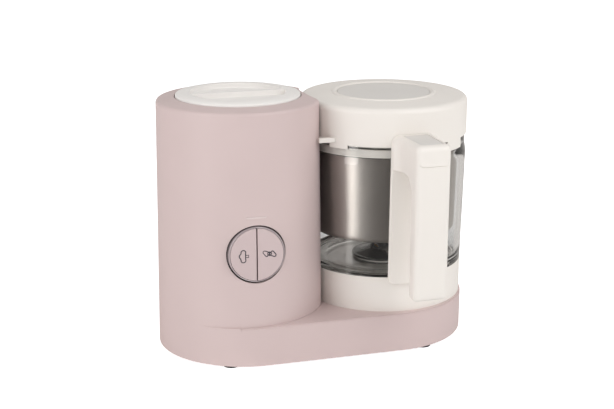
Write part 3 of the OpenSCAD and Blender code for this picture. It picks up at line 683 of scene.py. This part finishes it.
def rounded_corners(x0, y0, x1, y1, low, high):
    """Outline of a rectangle, its low corners rounded by one radius and its high corners by another."""
    corners = [(x0 + low, y0 + low, low, 180), (x1 - low, y0 + low, low, 270),
               (x1 - high, y1 - high, high, 0), (x0 + high, y1 - high, high, 90)]
    return [spot for x, y, radius, start in corners for spot in arc((x, y), radius, start, start + 90, 6)]


finger_corner = arc((GRIP_BACK + FINGER_CORNER, UNDER_BLOCK_Z - FINGER_CORNER), FINGER_CORNER, 90, 180, 8)
toe_corner = arc((GRIP_FRONT + TOE_CORNER, FOOT_Z + TOE_CORNER), TOE_CORNER, 270, 180, 6)
brow_corner = arc((GRIP_FRONT + BROW_CORNER, TOP_Z - BROW_CORNER), BROW_CORNER, 180, 90, 6)
side_view = ([(BLOCK_BACK, UNDER_BLOCK_Z)] + finger_corner + [(GRIP_BACK, FOOT_Z)] + toe_corner + brow_corner
             + [(BLOCK_BACK, TOP_Z)])
handle = drawn("handle_body", [at_jar(-GRIP_HALF_WIDTH, y, z) for y, z in side_view],
               (2 * GRIP_HALF_WIDTH * mm, 0, 0))
soften(handle, width=0.0042, segments=6, angle=50)

# The strap is the part of a round, outward-leaning ring that lies inside a flat plate with rounded corners.
# A flare leads from it to the block. Remeshing then melts strap, block and grip into one.
ring_section = [(STRAP_INSIDE, FOOT_Z), (STRAP_LOW_RADIUS, FOOT_Z), (STRAP_HIGH_RADIUS, TOP_Z),
                (STRAP_INSIDE, TOP_Z), (STRAP_INSIDE, FOOT_Z)]
strap_ring = spun("strap_ring", [(r * mm, z * mm) for r, z in ring_section], JAR, 256)
flare_view = [(-19, -70), (-19, -76.5), (-17, -79), (-15.6, -82), (-14.9, -86)]
flare_view += [(-x, y) for x, y in reversed(flare_view)]
flare = drawn("flare", [at_jar(x, y, FLARE_Z) for x, y in flare_view], (0, 0, (TOP_Z - FLARE_Z) * mm))
join_on(strap_ring, flare)
plate_view = rounded_corners(-STRAP_HALF_WIDTH, FOOT_Z, STRAP_HALF_WIDTH, TOP_Z, STRAP_LOW_CORNER,
                             STRAP_HIGH_CORNER)
plate = drawn("strap_plate", [at_jar(x, PLATE_FRONT, z) for x, z in plate_view], (0, PLATE_DEPTH * mm, 0))
join_on(plate, strap_ring, "INTERSECT")
join_on(handle, plate)
change(handle, "REMESH", mode="VOXEL", voxel_size=0.0009)
change(handle, "SMOOTH", factor=0.5, iterations=9)

# What the strap lies round, from the collar up to the lid, is cut out of it.
core_section = [(0.07135, 0.040), (0.07135, 0.0668), (0.0716, 0.067), (0.0741, 0.1752), (0.0741, 0.200)]
join_on(handle, spun("jar_core", core_section, JAR, 256, solid=True), "DIFFERENCE")

# The pad's recess is narrower in front than at the back, where it also lies a trace further to the left.
RECESS_MIDDLE, RECESS_HALF_LENGTH = -97.1, 19.5
RECESS_WIDTH, RECESS_TAPER = 0.942, 0.058
RECESS_SHIFT, RECESS_LEAN = 0.15, 0.55
RECESS_SIDE, RECESS_FRONT, RECESS_BACK, RECESS_CORNER = 11.0, -114.6, -77.6, 2.4
RECESS_FLOOR_Z, RECESS_CUT = 187.5, 10


def tapered(x, y):
    back = (y - RECESS_MIDDLE) / RECESS_HALF_LENGTH
    return x * (RECESS_WIDTH + RECESS_TAPER * back) + RECESS_SHIFT - RECESS_LEAN * back, y


straight_view = rounded_corners(-RECESS_SIDE, RECESS_FRONT, RECESS_SIDE, RECESS_BACK, RECESS_CORNER,
                                RECESS_CORNER)
recess_view = [tapered(x, y) for x, y in straight_view]
recess_floor = [at_jar(x, y, RECESS_FLOOR_Z) for x, y in recess_view]
join_on(handle, drawn("pad_recess", recess_floor, (0, 0, RECESS_CUT * mm)), "DIFFERENCE")

# The line under the block's lip is a thin groove. Its cutter is stretched to reach through the rounded front.
GROOVE_LEFT, GROOVE_RIGHT, GROOVE_LOW_Z, GROOVE_HIGH_Z = -14, 16, 175.9, 184
GROOVE_CORNER, GROOVE_Y, GROOVE_HALF_WIDTH, GROOVE_REACH = 6, -119.7, 0.00027, 8
groove_turn = arc((GROOVE_LEFT + GROOVE_CORNER, GROOVE_LOW_Z + GROOVE_CORNER), GROOVE_CORNER, 270, 180, 8)
groove_view = ([(GROOVE_RIGHT, GROOVE_LOW_Z), (GROOVE_LEFT + GROOVE_CORNER, GROOVE_LOW_Z)] + groove_turn
               + [(GROOVE_LEFT, GROOVE_HIGH_Z)])
groove = printed_line("lip_groove", groove_view, closed=False, half_width=GROOVE_HALF_WIDTH)
groove.scale = (1, 1, GROOVE_REACH)
groove.rotation_euler = (math.radians(90), 0, 0)
groove.location = at_jar(0, GROOVE_Y, 0)
pick(groove)
bpy.ops.object.transform_apply(location=True, rotation=True, scale=True)
join_on(handle, groove, "DIFFERENCE")
fit(smooth(handle, 40), satin_cream, "jar", "handle")

# The pad fills its recess but for a thin gap all round and room to be pressed below, flush with the block.
PAD_CENTRE_X, PAD_CENTRE_Y = -0.2, -97
PAD_SHARE_ACROSS, PAD_SHARE_ALONG = 0.98, 0.988
PAD_UNDERSIDE_Z, PAD_THICKNESS = 189.9, 3.05
pad_view = [((x - PAD_CENTRE_X) * PAD_SHARE_ACROSS + PAD_CENTRE_X,
             (y - PAD_CENTRE_Y) * PAD_SHARE_ALONG + PAD_CENTRE_Y) for x, y in recess_view]
pad_underside = [at_jar(x, y, PAD_UNDERSIDE_Z) for x, y in pad_view]
pad = drawn("release_pad_top", pad_underside, (0, 0, PAD_THICKNESS * mm))
pad_grey = Finish("pad_grey", "grey_pad", (0.72, 0.69, 0.655), 0.5)
pad_grey.moulded(0.02, 0.00002, 2400)
soften(pad, width=0.0008, segments=3, angle=50)
fit(smooth(pad, 30), pad_grey, "release", "release_pad")

# ---- Lid ----
# The lid's skirt surrounds the jar's neck, with two lips for the bayonet below it and a small lug that works
# the switch in the tower. A raised bead in the middle of its top frames the grey centre cap.
satin_cream.on("lid_shell", "lid_inner_plate")
pad_grey.on("center_cap")
milky_silicone.on("lid_seal", "center_cap_seal")
